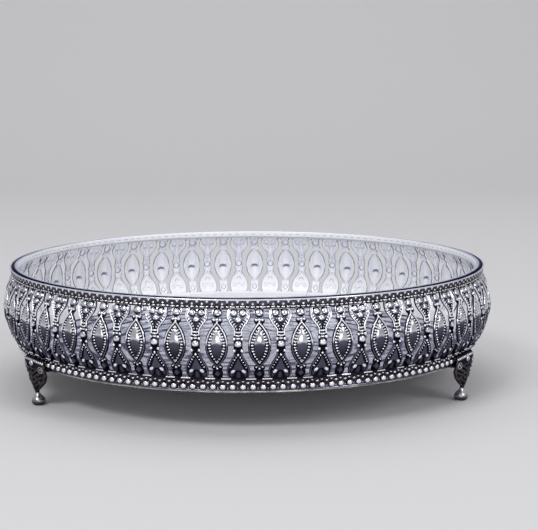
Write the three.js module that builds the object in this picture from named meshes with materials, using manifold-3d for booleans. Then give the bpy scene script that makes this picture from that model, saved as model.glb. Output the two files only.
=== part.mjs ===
// Puja tray: a shallow round tray whose wall is a pierced and embossed gallery, standing on three feet.
// Millimetres, +Z up. The origin is under the tray's centre, on the surface that the feet stand on.
// Angles are taken at the tray's axis, from the front (-Y) towards +X.

import * as THREE from 'three';
import { mergeVertices } from 'three/addons/utils/BufferGeometryUtils.js';
import Module from 'manifold-3d';

const wasm = await Module();
wasm.setup();

// Heights, from the ground up
const FOOT_HEIGHT = 21.4;
const BASE_THICKNESS = 1.2;
const BAND_HEIGHT = 6.3;
const LOWER_RAIL_HEIGHT = 2;
const SLOT_HEIGHT = 37.5;
const UPPER_RAIL_HEIGHT = 0.7;
const BORDER_HEIGHT = 3.9;
const LIP_THICKNESS = 1;

// Radii and sections of the wall
const GALLERY_RADIUS = 151;
const BULGE_ARC_RADIUS = 36;
const SHEET_THICKNESS = 0.9;
const FOOTING_RADIUS = 141.1;
const BORDER_THICKNESS = 1.1;
const BAND_THICKNESS = 1.1;
const LIP_WIDTH = 5.1;
const LIP_OVERHANG = 0.4;
const LIP_BEAD_WIDTH = 1.4;
const LIP_SKIRT_HEIGHT = 3.8;
const LIP_SKIRT_THICKNESS = 0.8;

// Ornament: counts, places and raised heights
const REPEAT_COUNT = 41;
const REPEATS_PER_LENGTH = [14, 14, 13];
const PATTERN_TURN_DEG = 2.4;
const FIRST_SEAM_COUNT = 4;
const SHELL_COUNT = 168;
const SHELL_RAISE = 0.6;
const BEAD_COUNT = 164;
const BEAD_RAISE = 1.6;
const BEAD_ROW_HEIGHT = 2.5;
const LEAF_WIDTH = 12.6;
const LEAF_LENGTH = 26;
const LEAF_RAISE = 1.6;
const STRAP_WIDTH = 5.4;
const STRAP_NOTCH_WIDTH = 4.4;
const COLLAR_WIDTH = 6.2;
const COLLAR_HEIGHT = 12.4;
const COLLAR_NOTCH = 1.6;
const BELL_WIDTH = 13.4;
const BELL_FOOT_WIDTH = 11.4;
const BELL_RAISE = 0.8;
const BELL_DEPTH = 3.4;
const WAIST_WIDTH = 5.8;
const WAIST_NOTCH_WIDTH = 4.2;
const WAIST_HEIGHT = 7.4;
const WAIST_RAISE = 0.8;

// Feet and their rivets
const FOOT_COUNT = 3;
const FOOT_TURN_DEG = 1.3;
const KNEE_LAP = 5.6;
const KNEE_WIDTH = 26;
const KNEE_THICKNESS = 2.8;
const KNEE_CREST = 1.6;
const LEAF_BOW = 2.3;
const ANKLE_WIDTH = 2.6;
const ANKLE_HEIGHT = 7.4;
const BALL_WIDTH = 8.4;
const PAD_WIDTH = 4.4;
const BALL_SETBACK = 0.8;
const LUG_WIDTH = 9;
const LUG_LENGTH = 7;
const LUG_THICKNESS = 1.6;
const VOLUTE_RADIUS = 1.6;
const RIVET_HEIGHT = 3.7;
const RIVET_HEAD_RADIUS = 2;
const RIVET_SHANK_RADIUS = 1;
const RIVET_TAIL_RADIUS = 1.7;
const RIVET_TAIL_THICKNESS = 0.7;
const RIVET_CLEARANCE = 0.3;

// Clearance left for solder between pieces that seat on each other
const SOLDER_GAP = 0.3;

// Round pieces are drawn with two facets to each repeat of the gallery
const FACETS = 2 * REPEAT_COUNT;
const TURNED_SIDES = 10;

// Levels and radii that follow from the sizes above
const baseTop = FOOT_HEIGHT + BASE_THICKNESS;
const bandBottom = baseTop + SOLDER_GAP;
const bandTop = bandBottom + BAND_HEIGHT;
const footingTop = bandTop + SOLDER_GAP;
const slotBottom = bandTop + LOWER_RAIL_HEIGHT;
const slotTop = slotBottom + SLOT_HEIGHT;
const slotMiddle = (slotBottom + slotTop) / 2;
const borderBottom = slotTop + UPPER_RAIL_HEIGHT;
const borderTop = borderBottom + BORDER_HEIGHT;
const lipUnderside = borderTop + SOLDER_GAP;
const lipTop = lipUnderside + LIP_THICKNESS;
const bulgeCentreRadius = GALLERY_RADIUS - BULGE_ARC_RADIUS;
const halfSlotTilt = Math.asin(SLOT_HEIGHT / 2 / BULGE_ARC_RADIUS);
const railRadius = bulgeCentreRadius + BULGE_ARC_RADIUS * Math.cos(halfSlotTilt);
const borderInnerRadius = railRadius + SOLDER_GAP;
const borderFaceRadius = borderInnerRadius + BORDER_THICKNESS;
const lipOuterRadius = borderFaceRadius + LIP_OVERHANG;
const bandInnerRadius = FOOTING_RADIUS + SOLDER_GAP;
const bandFaceRadius = bandInnerRadius + BAND_THICKNESS;
const beadTopRadius = bandFaceRadius + BEAD_RAISE;
const baseRadius = FOOTING_RADIUS;
const tailFaceRadius = FOOTING_RADIUS - SHEET_THICKNESS - SOLDER_GAP;
const clearFloorRadius = tailFaceRadius - RIVET_TAIL_THICKNESS - SOLDER_GAP;
const kneeBackRadius = beadTopRadius + SOLDER_GAP;
const kneeFaceRadius = kneeBackRadius + KNEE_THICKNESS;

const FULL_TURN = 2 * Math.PI;
const repeatAngle = FULL_TURN / REPEAT_COUNT;
const patternTurn = THREE.MathUtils.degToRad(PATTERN_TURN_DEG);
// The first seam runs down the slot after this many whole repeats from the front leaf
const seamAngle = patternTurn + (FIRST_SEAM_COUNT + 0.25) * repeatAngle;
const beadHeight = bandBottom + BEAD_ROW_HEIGHT;
const rivetHeight = FOOT_HEIGHT + RIVET_HEIGHT;

// Finishes
const silver = new THREE.MeshStandardMaterial({ color: 0xa9a7ae, roughness: 0.3, metalness: 1 });
const polishedSilver = new THREE.MeshStandardMaterial({ color: 0xcfced6, roughness: 0.16, metalness: 1 });
const agedSilver = new THREE.MeshStandardMaterial({ color: 0x77757c, roughness: 0.38, metalness: 1 });
const brassySilver = new THREE.MeshStandardMaterial({ color: 0xb8b09a, roughness: 0.28, metalness: 1 });

// The point at an angle, a radius and a height
function polar(angle, radius, height) {
  return new THREE.Vector3(radius * Math.sin(angle), -radius * Math.cos(angle), height);
}

// Triangles between two rows of points that run the same way, each point with its angle and its index.
// Seen from the front of the face, the rows run to the right and the second lies above the first.
function stitch(lower, upper) {
  const triangles = [];
  let i = 0;
  let j = 0;
  while (i < lower.length - 1 || j < upper.length - 1) {
    const lowerNext = i < lower.length - 1 ? lower[i + 1].angle + lower[i].angle : Infinity;
    const upperNext = j < upper.length - 1 ? upper[j + 1].angle + upper[j].angle : Infinity;
    if (lowerNext <= upperNext) {
      triangles.push([lower[i].index, lower[i + 1].index, upper[j].index]);
      i += 1;
    } else {
      triangles.push([lower[i].index, upper[j + 1].index, upper[j].index]);
      j += 1;
    }
  }
  return triangles;
}

function geometryFrom(positions, triangles) {
  const geometry = new THREE.BufferGeometry();
  geometry.setAttribute('position', new THREE.Float32BufferAttribute(positions.flatMap((p) => p.toArray()), 3));
  geometry.setIndex(triangles.flat());
  geometry.computeVertexNormals();
  return geometry;
}

// Solids for cutting and joining
function toSolid(geometry) {
  const bare = geometry.clone();
  bare.deleteAttribute('normal');
  bare.deleteAttribute('uv');
  const merged = mergeVertices(bare, 1e-4);
  return new wasm.Manifold(new wasm.Mesh({
    numProp: 3,
    vertProperties: new Float32Array(merged.attributes.position.array),
    triVerts: new Uint32Array(merged.index.array),
  }));
}

function fromSolid(solid) {
  const mesh = solid.getMesh();
  const geometry = new THREE.BufferGeometry();
  geometry.setAttribute('position', new THREE.BufferAttribute(new Float32Array(mesh.vertProperties), 3));
  geometry.setIndex(new THREE.BufferAttribute(new Uint32Array(mesh.triVerts), 1));
  geometry.computeVertexNormals();
  return geometry;
}

function cut(geometry, tools) {
  return fromSolid(tools.reduce((solid, tool) => solid.subtract(toSolid(tool)), toSolid(geometry)));
}

function join(geometries) {
  const [first, ...others] = geometries.map(toSolid);
  return fromSolid(others.reduce((solid, other) => solid.add(other), first));
}

// A solid of revolution about +Z from a profile of [radius, height] pairs
function turned(profile, sides) {
  const points = profile.map(([radius, height]) => new THREE.Vector2(radius, height));
  return new THREE.LatheGeometry(points, sides).rotateX(Math.PI / 2);
}

// The gallery is a pressed sheet. Its skin is drawn first, as points with an angle, a height and a raise.
// The same skin, set in by the sheet's thickness, is the inside, so each boss is hollow behind.
function addRow(skin, height, marks) {
  return marks.map(({ angle, raise = 0 }) => {
    skin.points.push({ angle, height, raise });
    return { angle, index: skin.points.length - 1 };
  });
}

function joinRows(skin, lower, upper) {
  skin.triangles.push(...stitch(lower, upper));
}

// A point on the gallery: bulged between the rails, upright behind the border and behind the bead band
function galleryPoint(angle, height, offset) {
  if (height > slotTop) {
    return polar(angle, railRadius + offset, height);
  }
  if (height >= slotBottom) {
    const tilt = Math.asin((height - slotMiddle) / BULGE_ARC_RADIUS);
    const reach = BULGE_ARC_RADIUS + offset;
    return polar(angle, bulgeCentreRadius + reach * Math.cos(tilt), slotMiddle + reach * Math.sin(tilt));
  }
  const ledgeTilt = Math.atan2(slotBottom - footingTop, railRadius - FOOTING_RADIUS);
  const mitre = height < footingTop ? 0 : Math.tan((Math.PI / 2 - ledgeTilt) / 2);
  return polar(angle, FOOTING_RADIUS + offset, height - offset * mitre);
}

function pressedSheet(skin, place) {
  const count = skin.points.length;
  const front = skin.points.map((p) => place(p.angle, p.height, p.raise));
  const back = skin.points.map((p) => place(p.angle, p.height, p.raise - SHEET_THICKNESS));
  const triangles = [];
  const edges = new Set();
  for (const [a, b, c] of skin.triangles) {
    triangles.push([a, b, c], [count + c, count + b, count + a]);
    edges.add(`${a} ${b}`).add(`${b} ${c}`).add(`${c} ${a}`);
  }
  for (const edge of edges) {
    const [a, b] = edge.split(' ').map(Number);
    if (!edges.has(`${b} ${a}`)) {
      triangles.push([b, a, count + a], [b, count + a, count + b]);
    }
  }
  return geometryFrom([...front, ...back], triangles);
}

// Half width of a leaf at a distance from its middle: two equal arcs that meet in a point at each end
function leafHalfWidth(distance) {
  const halfWidth = LEAF_WIDTH / 2;
  const arcRadius = (halfWidth ** 2 + (LEAF_LENGTH / 2) ** 2) / (2 * halfWidth);
  return Math.sqrt(arcRadius ** 2 - distance ** 2) - (arcRadius - halfWidth);
}

// Each column is listed from its middle upwards, and its lower half mirrors the upper one
function leafColumn() {
  const end = SLOT_HEIGHT / 2;
  const notch = COLLAR_HEIGHT - COLLAR_NOTCH;
  const shoulder = notch * 0.7;
  const flank = notch * 0.33;
  return [
    { up: flank, half: leafHalfWidth(flank), ridge: LEAF_RAISE },
    { up: shoulder, half: leafHalfWidth(shoulder) },
    { up: notch, half: leafHalfWidth(notch) },
    { up: COLLAR_HEIGHT, half: COLLAR_WIDTH / 2 },
    { up: COLLAR_HEIGHT + COLLAR_NOTCH, half: STRAP_NOTCH_WIDTH / 2 },
    { up: end, half: STRAP_WIDTH / 2 },
  ];
}

function bellColumn() {
  const end = SLOT_HEIGHT / 2;
  const waist = WAIST_HEIGHT / 2;
  const notch = waist + COLLAR_NOTCH;
  const mouth = end - BELL_DEPTH;
  return [
    { up: waist, half: WAIST_WIDTH / 2, ridge: WAIST_RAISE },
    { up: notch, half: WAIST_NOTCH_WIDTH / 2 },
    { up: mouth, half: BELL_WIDTH / 2, ridge: BELL_RAISE },
    { up: end, half: BELL_FOOT_WIDTH / 2 },
  ];
}

function columnLevels(levels) {
  const lower = levels.map((level) => ({ ...level, up: -level.up })).reverse();
  return [...lower, ...levels];
}

// Widths are measured along the wall where it is widest, so they turn into angles there
function levelMarks(centre, level) {
  const half = level.half / GALLERY_RADIUS;
  const middle = level.ridge ? [{ angle: centre, raise: level.ridge }] : [];
  return [{ angle: centre - half }, ...middle, { angle: centre + half }];
}

function addColumn(skin, centre, levels, foot, head) {
  let below = foot;
  for (const level of levels.slice(1, -1)) {
    const row = addRow(skin, slotMiddle + level.up, levelMarks(centre, level));
    joinRows(skin, below, row);
    below = row;
  }
  joinRows(skin, below, head);
}

// One length of the gallery, from one seam to the next
function galleryLength(startAngle, repeats, rivetHoles) {
  const skin = { points: [], triangles: [] };
  const inset = SOLDER_GAP / 2 / railRadius;
  const first = { angle: startAngle + inset };
  const last = { angle: startAngle + repeats * repeatAngle - inset };
  const columns = [];
  for (let k = 0; k < repeats; k += 1) {
    columns.push({ centre: startAngle + (k + 0.25) * repeatAngle, levels: columnLevels(bellColumn()) });
    columns.push({ centre: startAngle + (k + 0.75) * repeatAngle, levels: columnLevels(leafColumn()) });
  }
  const centres = columns.map(({ centre }) => ({ angle: centre }));
  const ends = columns.flatMap(({ centre, levels }) => levelMarks(centre, levels[0]));

  const footing = addRow(skin, bandBottom, [first, ...centres, last]);
  const ledge = addRow(skin, footingTop, [first, ...centres, last]);
  const sill = addRow(skin, slotBottom, [first, ...ends, last]);
  const header = addRow(skin, slotTop, [first, ...ends, last]);
  const crown = addRow(skin, borderTop, [first, ...centres, last]);
  joinRows(skin, footing, ledge);
  joinRows(skin, ledge, sill);
  joinRows(skin, header, crown);
  columns.forEach(({ centre, levels }, k) => {
    const foot = sill.slice(1 + 2 * k, 3 + 2 * k);
    const head = header.slice(1 + 2 * k, 3 + 2 * k);
    addColumn(skin, centre, levels, foot, head);
  });
  return cut(pressedSheet(skin, galleryPoint), rivetHoles);
}

// A hoop is stitched from rows of points that go round the tray, in order round its section.
// A hoop with a seam starts and ends there, and is capped.
function hoop(rows, closed) {
  const positions = [];
  const loops = rows.map((row) => {
    const loop = row.map(({ angle, radius, height }) => {
      positions.push(polar(angle, radius, height));
      return { angle, index: positions.length - 1 };
    });
    return closed ? [...loop, { angle: loop[0].angle + FULL_TURN, index: loop[0].index }] : loop;
  });
  const triangles = loops.flatMap((loop, k) => stitch(loop, loops[(k + 1) % loops.length]));
  if (!closed) {
    for (let k = 1; k < loops.length - 1; k += 1) {
      const cap = [loops[0], loops[k], loops[k + 1]];
      triangles.push(cap.map((loop) => loop[0].index));
      triangles.push(cap.map((loop) => loop[loop.length - 1].index).reverse());
    }
  }
  return geometryFrom(positions, triangles);
}

function hoopRow(start, span, count, height, radiusAt) {
  return Array.from({ length: count }, (_, k) => (
    { angle: start + (span * k) / count, radius: radiusAt(k), height }
  ));
}

// The bead band: one large bead after another round the foot of the wall
function bandGeometry(rivetHoles) {
  const row = (count, height, radiusAt) => hoopRow(0, FULL_TURN, count, height, radiusAt);
  return cut(hoop([
    row(FACETS, bandBottom, () => bandFaceRadius),
    row(2 * BEAD_COUNT, beadHeight, (k) => (k % 2 ? bandFaceRadius : beadTopRadius)),
    row(FACETS, bandTop, () => bandFaceRadius),
    row(FACETS, bandTop, () => bandInnerRadius),
    row(FACETS, bandBottom, () => bandInnerRadius),
  ], true), rivetHoles);
}

// The shell border: a strip with one seam, soldered round the top rail
function borderGeometry() {
  const gap = SOLDER_GAP / borderFaceRadius;
  const row = (segments, height, radiusAt) => {
    const span = (FULL_TURN - gap) * (segments + 1) / segments;
    return hoopRow(seamAngle + gap / 2, span, segments + 1, height, radiusAt);
  };
  return hoop([
    row(FACETS, borderBottom, () => borderFaceRadius),
    row(2 * SHELL_COUNT, (borderBottom + borderTop) / 2, (k) => borderFaceRadius + (k % 2) * SHELL_RAISE),
    row(FACETS, borderTop, () => borderFaceRadius),
    row(FACETS, borderTop, () => borderInnerRadius),
    row(FACETS, borderBottom, () => borderInnerRadius),
  ], false);
}

// The lip: a channel that caps the wall, with a raised bead outside and a skirt inside
function lipGeometry() {
  const inner = lipOuterRadius - LIP_WIDTH;
  const skirtBack = inner + LIP_SKIRT_THICKNESS;
  const skirtBottom = lipTop - LIP_SKIRT_HEIGHT;
  const round = LIP_THICKNESS * 0.35;
  const profile = [
    [lipOuterRadius, lipUnderside],
    [lipOuterRadius, lipTop - round],
    [lipOuterRadius - LIP_BEAD_WIDTH / 2, lipTop],
    [lipOuterRadius - LIP_BEAD_WIDTH, lipTop - round],
    [inner, lipTop - round / 2],
    [inner, skirtBottom],
    [skirtBack, skirtBottom],
    [skirtBack, lipUnderside],
  ];
  return turned([...profile, profile[0]], FACETS);
}

// The base: a flat round sheet with a rounded edge. The wall and the rivets stand on its margin, and the
// floor that the tray offers is the clear circle inside them.
function baseGeometry() {
  const round = BASE_THICKNESS / 2;
  return turned([
    [0, FOOT_HEIGHT],
    [baseRadius - round, FOOT_HEIGHT],
    [baseRadius, FOOT_HEIGHT + round],
    [baseRadius - round, baseTop],
    [clearFloorRadius, baseTop],
    [0, baseTop],
  ], FACETS);
}

// Rivets run along the radius of each foot: x is the radius, y the way round, z the height
function alongRadius(geometry) {
  return geometry.rotateY(Math.PI / 2).translate(0, 0, rivetHeight);
}

function rivetGeometry() {
  const headSeat = kneeFaceRadius + SOLDER_GAP;
  const dome = RIVET_HEAD_RADIUS * 0.7;
  return alongRadius(turned([
    [0, tailFaceRadius - RIVET_TAIL_THICKNESS],
    [RIVET_TAIL_RADIUS, tailFaceRadius - RIVET_TAIL_THICKNESS],
    [RIVET_TAIL_RADIUS, tailFaceRadius],
    [RIVET_SHANK_RADIUS, tailFaceRadius],
    [RIVET_SHANK_RADIUS, headSeat],
    [RIVET_HEAD_RADIUS, headSeat],
    [RIVET_HEAD_RADIUS * 0.8, headSeat + dome * 0.6],
    [0, headSeat + dome],
  ], TURNED_SIDES));
}

function rivetHole() {
  const radius = RIVET_SHANK_RADIUS + RIVET_CLEARANCE;
  const from = FOOTING_RADIUS - 2 * KNEE_THICKNESS;
  const to = kneeFaceRadius + KNEE_THICKNESS;
  return alongRadius(turned([[0, from], [radius, from], [radius, to], [0, to]], TURNED_SIDES));
}

// A level of the leg: bowed round the tray by what its side edges lie behind its middle, and crowned in front
function legSection(height, halfWidth, back, face, bow) {
  const edge = (face - back) * 0.45;
  const crown = (share) => edge + (face - back - edge) * Math.cos(share * Math.PI / 2);
  const point = (share, depth) => (
    new THREE.Vector3(back + depth - bow * share * share, share * halfWidth, height)
  );
  return [
    point(0, 0),
    point(-0.5, 0),
    point(-1, 0),
    ...[-1, -0.6, 0, 0.6, 1].map((share) => point(share, crown(share))),
    point(1, 0),
    point(0.5, 0),
  ];
}

// A body through sections that have equal numbers of points, anticlockwise from above, lowest first
function loft(sections) {
  const sides = sections[0].length;
  const triangles = [];
  for (let s = 0; s < sections.length - 1; s += 1) {
    for (let k = 0; k < sides; k += 1) {
      const next = (k + 1) % sides;
      const [a, b] = [s * sides + k, s * sides + next];
      triangles.push([a, b, b + sides], [a, b + sides, a + sides]);
    }
  }
  const top = (sections.length - 1) * sides;
  for (let k = 1; k < sides - 1; k += 1) {
    triangles.push([0, k + 1, k], [top, top + k, top + k + 1]);
  }
  return geometryFrom(sections.flat(), triangles);
}

// The leg is a broad leaf that hangs from the knee and draws in to the ankle. The knee follows the bead band
function legGeometry() {
  const kneeTop = FOOT_HEIGHT + KNEE_LAP;
  const drop = FOOT_HEIGHT - ANKLE_HEIGHT;
  const centre = kneeFaceRadius - KNEE_THICKNESS;
  const half = KNEE_WIDTH / 2;
  const ankleHalf = ANKLE_WIDTH / 2;
  const kneeBow = (half * half) / (2 * kneeBackRadius);
  const thick = (share) => KNEE_THICKNESS * share;
  const level = (share) => ANKLE_HEIGHT + drop * share;
  const ankleBack = centre - ankleHalf;
  const ankleFace = centre + ankleHalf * 0.8;
  return loft([
    legSection(ANKLE_HEIGHT - ankleHalf * 0.8, ankleHalf, ankleBack, ankleFace, 0),
    legSection(level(0.12), ankleHalf * 1.7, centre - thick(0.5), centre + thick(0.43), LEAF_BOW * 0.1),
    legSection(level(0.34), half * 0.56, centre - thick(0.43), centre + thick(0.72), LEAF_BOW * 0.6),
    legSection(level(0.58), half * 0.84, centre - thick(0.28), centre + thick(0.93), LEAF_BOW),
    legSection(FOOT_HEIGHT - SOLDER_GAP, half, centre, centre + thick(1.14), kneeBow + LEAF_BOW * 0.4),
    legSection(rivetHeight, half, centre, centre + thick(1), kneeBow),
    legSection(kneeTop, half * 0.95, centre, centre + thick(0.82), kneeBow * 0.9),
    legSection(kneeTop + KNEE_CREST, half * 0.86, centre, centre + thick(0.3), kneeBow * 0.75),
  ]);
}

function ballGeometry() {
  const half = BALL_WIDTH / 2;
  const pad = PAD_WIDTH / 2;
  const neck = ANKLE_WIDTH * 0.45;
  return turned([
    [0, 0],
    [pad, 0],
    [half * 0.92, ANKLE_HEIGHT * 0.17],
    [half, ANKLE_HEIGHT * 0.36],
    [half * 0.8, ANKLE_HEIGHT * 0.62],
    [neck, ANKLE_HEIGHT],
    [0, ANKLE_HEIGHT],
  ], TURNED_SIDES);
}

// The lug under the base carries the tray's weight
function lugGeometry() {
  const outer = kneeBackRadius + KNEE_THICKNESS / 3;
  const lug = new THREE.BoxGeometry(outer - (baseRadius - LUG_LENGTH), LUG_WIDTH, LUG_THICKNESS);
  const height = FOOT_HEIGHT - SOLDER_GAP - LUG_THICKNESS / 2;
  return lug.translate((outer + baseRadius - LUG_LENGTH) / 2, 0, height);
}

function voluteGeometry(side) {
  const volute = new THREE.SphereGeometry(VOLUTE_RADIUS, 7, 5);
  const height = FOOT_HEIGHT + VOLUTE_RADIUS / 2;
  return volute.translate(kneeBackRadius + VOLUTE_RADIUS, side * KNEE_WIDTH * 0.4, height);
}

function footGeometry() {
  const ball = ballGeometry().translate(kneeFaceRadius - KNEE_THICKNESS - BALL_SETBACK, 0, 0);
  const foot = join([legGeometry(), ball, lugGeometry(), voluteGeometry(-1), voluteGeometry(1)]);
  return cut(foot, [rivetHole()]);
}

// The tray
const tray = new THREE.Group();

function place(parent, name, geometry, material) {
  const mesh = new THREE.Mesh(geometry, material);
  mesh.name = name;
  parent.add(mesh);
}

// A turn about +Z that carries the +X direction to a foot's place
const footTurns = Array.from({ length: FOOT_COUNT }, (_, k) => (
  THREE.MathUtils.degToRad(FOOT_TURN_DEG) + (k * FULL_TURN) / FOOT_COUNT + Math.PI / 2
));
const rivetHoles = footTurns.map((turn) => rivetHole().rotateZ(turn));

place(tray, 'base_plate', baseGeometry(), brassySilver);
place(tray, 'bead_band', bandGeometry(rivetHoles), silver);

let lengthStart = seamAngle;
REPEATS_PER_LENGTH.forEach((repeats, k) => {
  place(tray, `gallery_length_${k + 1}`, galleryLength(lengthStart, repeats, rivetHoles), silver);
  lengthStart += repeats * repeatAngle;
});

place(tray, 'rim_border', borderGeometry(), agedSilver);
place(tray, 'rim_lip', lipGeometry(), polishedSilver);

footTurns.forEach((turn, k) => {
  const bracket = new THREE.Group();
  bracket.rotation.z = turn;
  place(bracket, `foot_${k + 1}`, footGeometry(), agedSilver);
  place(bracket, `foot_rivet_${k + 1}`, rivetGeometry(), silver);
  tray.add(bracket);
});

export default tray;
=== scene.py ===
# Puja tray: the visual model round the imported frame. Lengths are worked out in millimetres and
# turned into metres when a mesh is made. Angles are taken at the tray's axis, from -Y towards +X.
import math

import bpy
import numpy as np
from mathutils import Matrix, Vector


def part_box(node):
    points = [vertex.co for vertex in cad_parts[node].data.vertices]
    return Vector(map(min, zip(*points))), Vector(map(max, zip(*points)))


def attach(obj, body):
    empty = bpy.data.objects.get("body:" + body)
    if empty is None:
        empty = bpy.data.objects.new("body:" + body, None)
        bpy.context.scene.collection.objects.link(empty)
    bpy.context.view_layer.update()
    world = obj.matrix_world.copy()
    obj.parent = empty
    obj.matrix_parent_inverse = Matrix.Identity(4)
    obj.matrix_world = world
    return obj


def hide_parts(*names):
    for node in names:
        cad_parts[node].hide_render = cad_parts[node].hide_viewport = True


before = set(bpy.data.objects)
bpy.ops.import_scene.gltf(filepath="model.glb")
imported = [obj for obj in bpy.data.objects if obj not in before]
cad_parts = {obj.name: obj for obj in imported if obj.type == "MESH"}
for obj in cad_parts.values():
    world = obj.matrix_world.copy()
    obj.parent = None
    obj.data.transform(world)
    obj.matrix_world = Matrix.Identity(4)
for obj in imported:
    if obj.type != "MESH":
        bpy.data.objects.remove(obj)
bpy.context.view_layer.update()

MM = 0.001
TURN = 2 * math.pi


def span(node):
    """A node's lowest and highest level in millimetres."""
    low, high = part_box(node)
    return low[2] / MM, high[2] / MM


# Levels and radii, from the frame where a node gives them
RIM_TOP = span("rim_lip")[1]
LIP_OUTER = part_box("rim_lip")[1][0] / MM
BORDER_LOW, BORDER_HIGH = span("rim_border")
BAND_LOW, BAND_HIGH = span("bead_band")
BASE_LOW, BASE_HIGH = span("base_plate")
PATTERN_TOP = 74.0
SLOT_LOW, SLOT_HIGH = 31.0, 68.7
FOOTING = 141.1
BASE_RADIUS = 141.1
FLOOR_FLAT = 137.5
HUB = 2.5
SMOOTH_ANGLE, LIP_SMOOTH_ANGLE, FLOOR_SMOOTH_ANGLE = 60, 50, 40

# The wall's pattern
REPEATS = 41
LENGTH_REPEATS = (14, 14, 13)
STEP = TURN / REPEATS
FIRST_LEAF = math.radians(2.4)
SEAM = FIRST_LEAF + 4.25 * STEP
SCALE_RADIUS = 151.0
ARC_CENTRE = 115.0
ARC_RADIUS = 35.6
ARC_MIDDLE = (SLOT_LOW + SLOT_HIGH) / 2
ARC_HALF = math.asin((SLOT_HIGH - SLOT_LOW) / 2 / ARC_RADIUS)
SHEET = 0.55
SEAM_GAP = 0.15 / SCALE_RADIUS


def unit(value):
    """The value, kept between 0 and 1."""
    return np.clip(value, 0, 1)


def root(value):
    """The square root, or 0 where the value is less than 0."""
    return np.sqrt(np.clip(value, 0, None))


# Meshes

def place(radius, angle, height):
    """Points at a radius, an angle round the tray and a height."""
    return np.stack(np.broadcast_arrays(radius * np.sin(angle), -radius * np.cos(angle), height), -1)


class Surface:
    """Points, faces and tones of one mesh, gathered block by block."""

    def __init__(self):
        self.points, self.tones, self.faces, self.slots, self.count = [], [], [], [], 0

    def add(self, points, tone):
        """Takes in points with their tones, and returns their indices in the same grid."""
        shape = points.shape[:-1]
        self.points.append(points.reshape(-1, 3))
        self.tones.append(np.broadcast_to(tone, shape).reshape(-1).astype(float))
        first = self.count
        self.count += math.prod(shape)
        return np.arange(first, self.count).reshape(shape)

    def face(self, polygons, slot=0):
        """Takes in faces, with the number of their material."""
        self.faces.append(polygons)
        self.slots.append(np.full(len(polygons), slot))

    def make(self, name, materials, smooth_angle, node):
        """The finished piece, which stands in for the node and wears the slot."""
        points = np.concatenate(self.points) * MM
        sizes = np.concatenate([np.full(len(group), group.shape[1]) for group in self.faces])
        loops = np.concatenate([group.ravel() for group in self.faces])
        mesh = bpy.data.meshes.new(name)
        mesh.vertices.add(len(points))
        mesh.vertices.foreach_set("co", points.astype(np.float32).ravel())
        mesh.loops.add(len(loops))
        mesh.loops.foreach_set("vertex_index", loops.astype(np.int32))
        mesh.polygons.add(len(sizes))
        starts = np.concatenate([[0], np.cumsum(sizes)[:-1]])
        mesh.polygons.foreach_set("loop_start", starts.astype(np.int32))
        mesh.polygons.foreach_set("material_index", np.concatenate(self.slots).astype(np.int32))
        mesh.update(calc_edges=True)
        mesh.validate()
        tone = mesh.attributes.new("tone", "FLOAT", "POINT")
        tone.data.foreach_set("value", np.concatenate(self.tones).astype(np.float32))
        mesh.polygons.foreach_set("use_smooth", np.ones(len(mesh.polygons), dtype=bool))
        mesh.set_sharp_from_angle(angle=math.radians(smooth_angle))
        for material in materials:
            mesh.materials.append(material)
        piece = bpy.data.objects.new(name, mesh)
        bpy.context.scene.collection.objects.link(piece)
        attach(piece, "root")
        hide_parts(node)


def quads(grid):
    """Faces of a grid of indices: rows run upwards and columns to the right, seen from the front."""
    return np.stack([grid[:-1, :-1], grid[:-1, 1:], grid[1:, 1:], grid[1:, :-1]], -1).reshape(-1, 4)


def closing_walls(front, back_of):
    """Five-sided faces between the free edges of a front skin and those of its coarser back skin."""
    start = front.ravel()
    end = np.roll(front, -1, axis=1).ravel()
    many = len(back_of)
    free = ~np.isin(start * many + end, end * many + start)
    after, before = np.full(many, -1), np.full(many, -1)
    after[start[free]] = end[free]
    before[end[free]] = start[free]
    odd = np.flatnonzero((after >= 0) & (back_of < 0))
    last, first = after[odd], before[odd]
    return np.stack([last, odd, first, back_of[first], back_of[last]], -1)


def blurred(field, reach):
    """The field averaged over a square window, by rows and then by columns."""
    for axis in (0, 1):
        pad = [(0, 0), (0, 0)]
        pad[axis] = (reach, reach)
        padded = np.pad(field, pad, mode="edge")
        total = 0
        for k in range(2 * reach + 1):
            total = total + np.take(padded, np.arange(k, k + field.shape[axis]), axis=axis)
        field = total / (2 * reach + 1)
    return field


def closed_round(grid):
    """The grid with its first column again at the end, so that its faces close the ring."""
    return np.concatenate([grid, grid[:, :1]], 1)


# Relief of the wall

def boss(x, y, at_x, at_y, reach_x, reach_y, height, turn=0.0):
    """Height field of one rounded boss."""
    dx, dy = x - at_x, y - at_y
    if turn:
        cosine, sine = math.cos(turn), math.sin(turn)
        dx, dy = cosine * dx + sine * dy, cosine * dy - sine * dx
    return height * root(1 - (dx / reach_x) ** 2 - (dy / reach_y) ** 2)


def laid(level, tone, form, least, shade):
    """The relief with a form laid over it, and the tone of the form where it stands proud."""
    return np.maximum(level, form), np.where(form > least, shade, tone)


def knob_painted_light(knobs, up, under):
    """Painted light on a rounded knob: a painted highlight on its crown, painted shade at its rim and on
    its underside.
    """
    return np.clip(0.44 + 0.9 * unit(knobs / up - 0.3) - 0.70 * unit(under), 0.14, 0.90)


def ridge(distance, half_width, height):
    """Height field of a rounded line, from the distance to its middle."""
    return height * root(1 - (distance / half_width) ** 2)


def ground_tone(relief):
    """Tone of the sheet between its raised forms: dark, and a little brighter where it stands proud."""
    return 0.04 + 0.4 * np.clip(relief - blurred(relief, 4), 0, 0.4)


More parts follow.
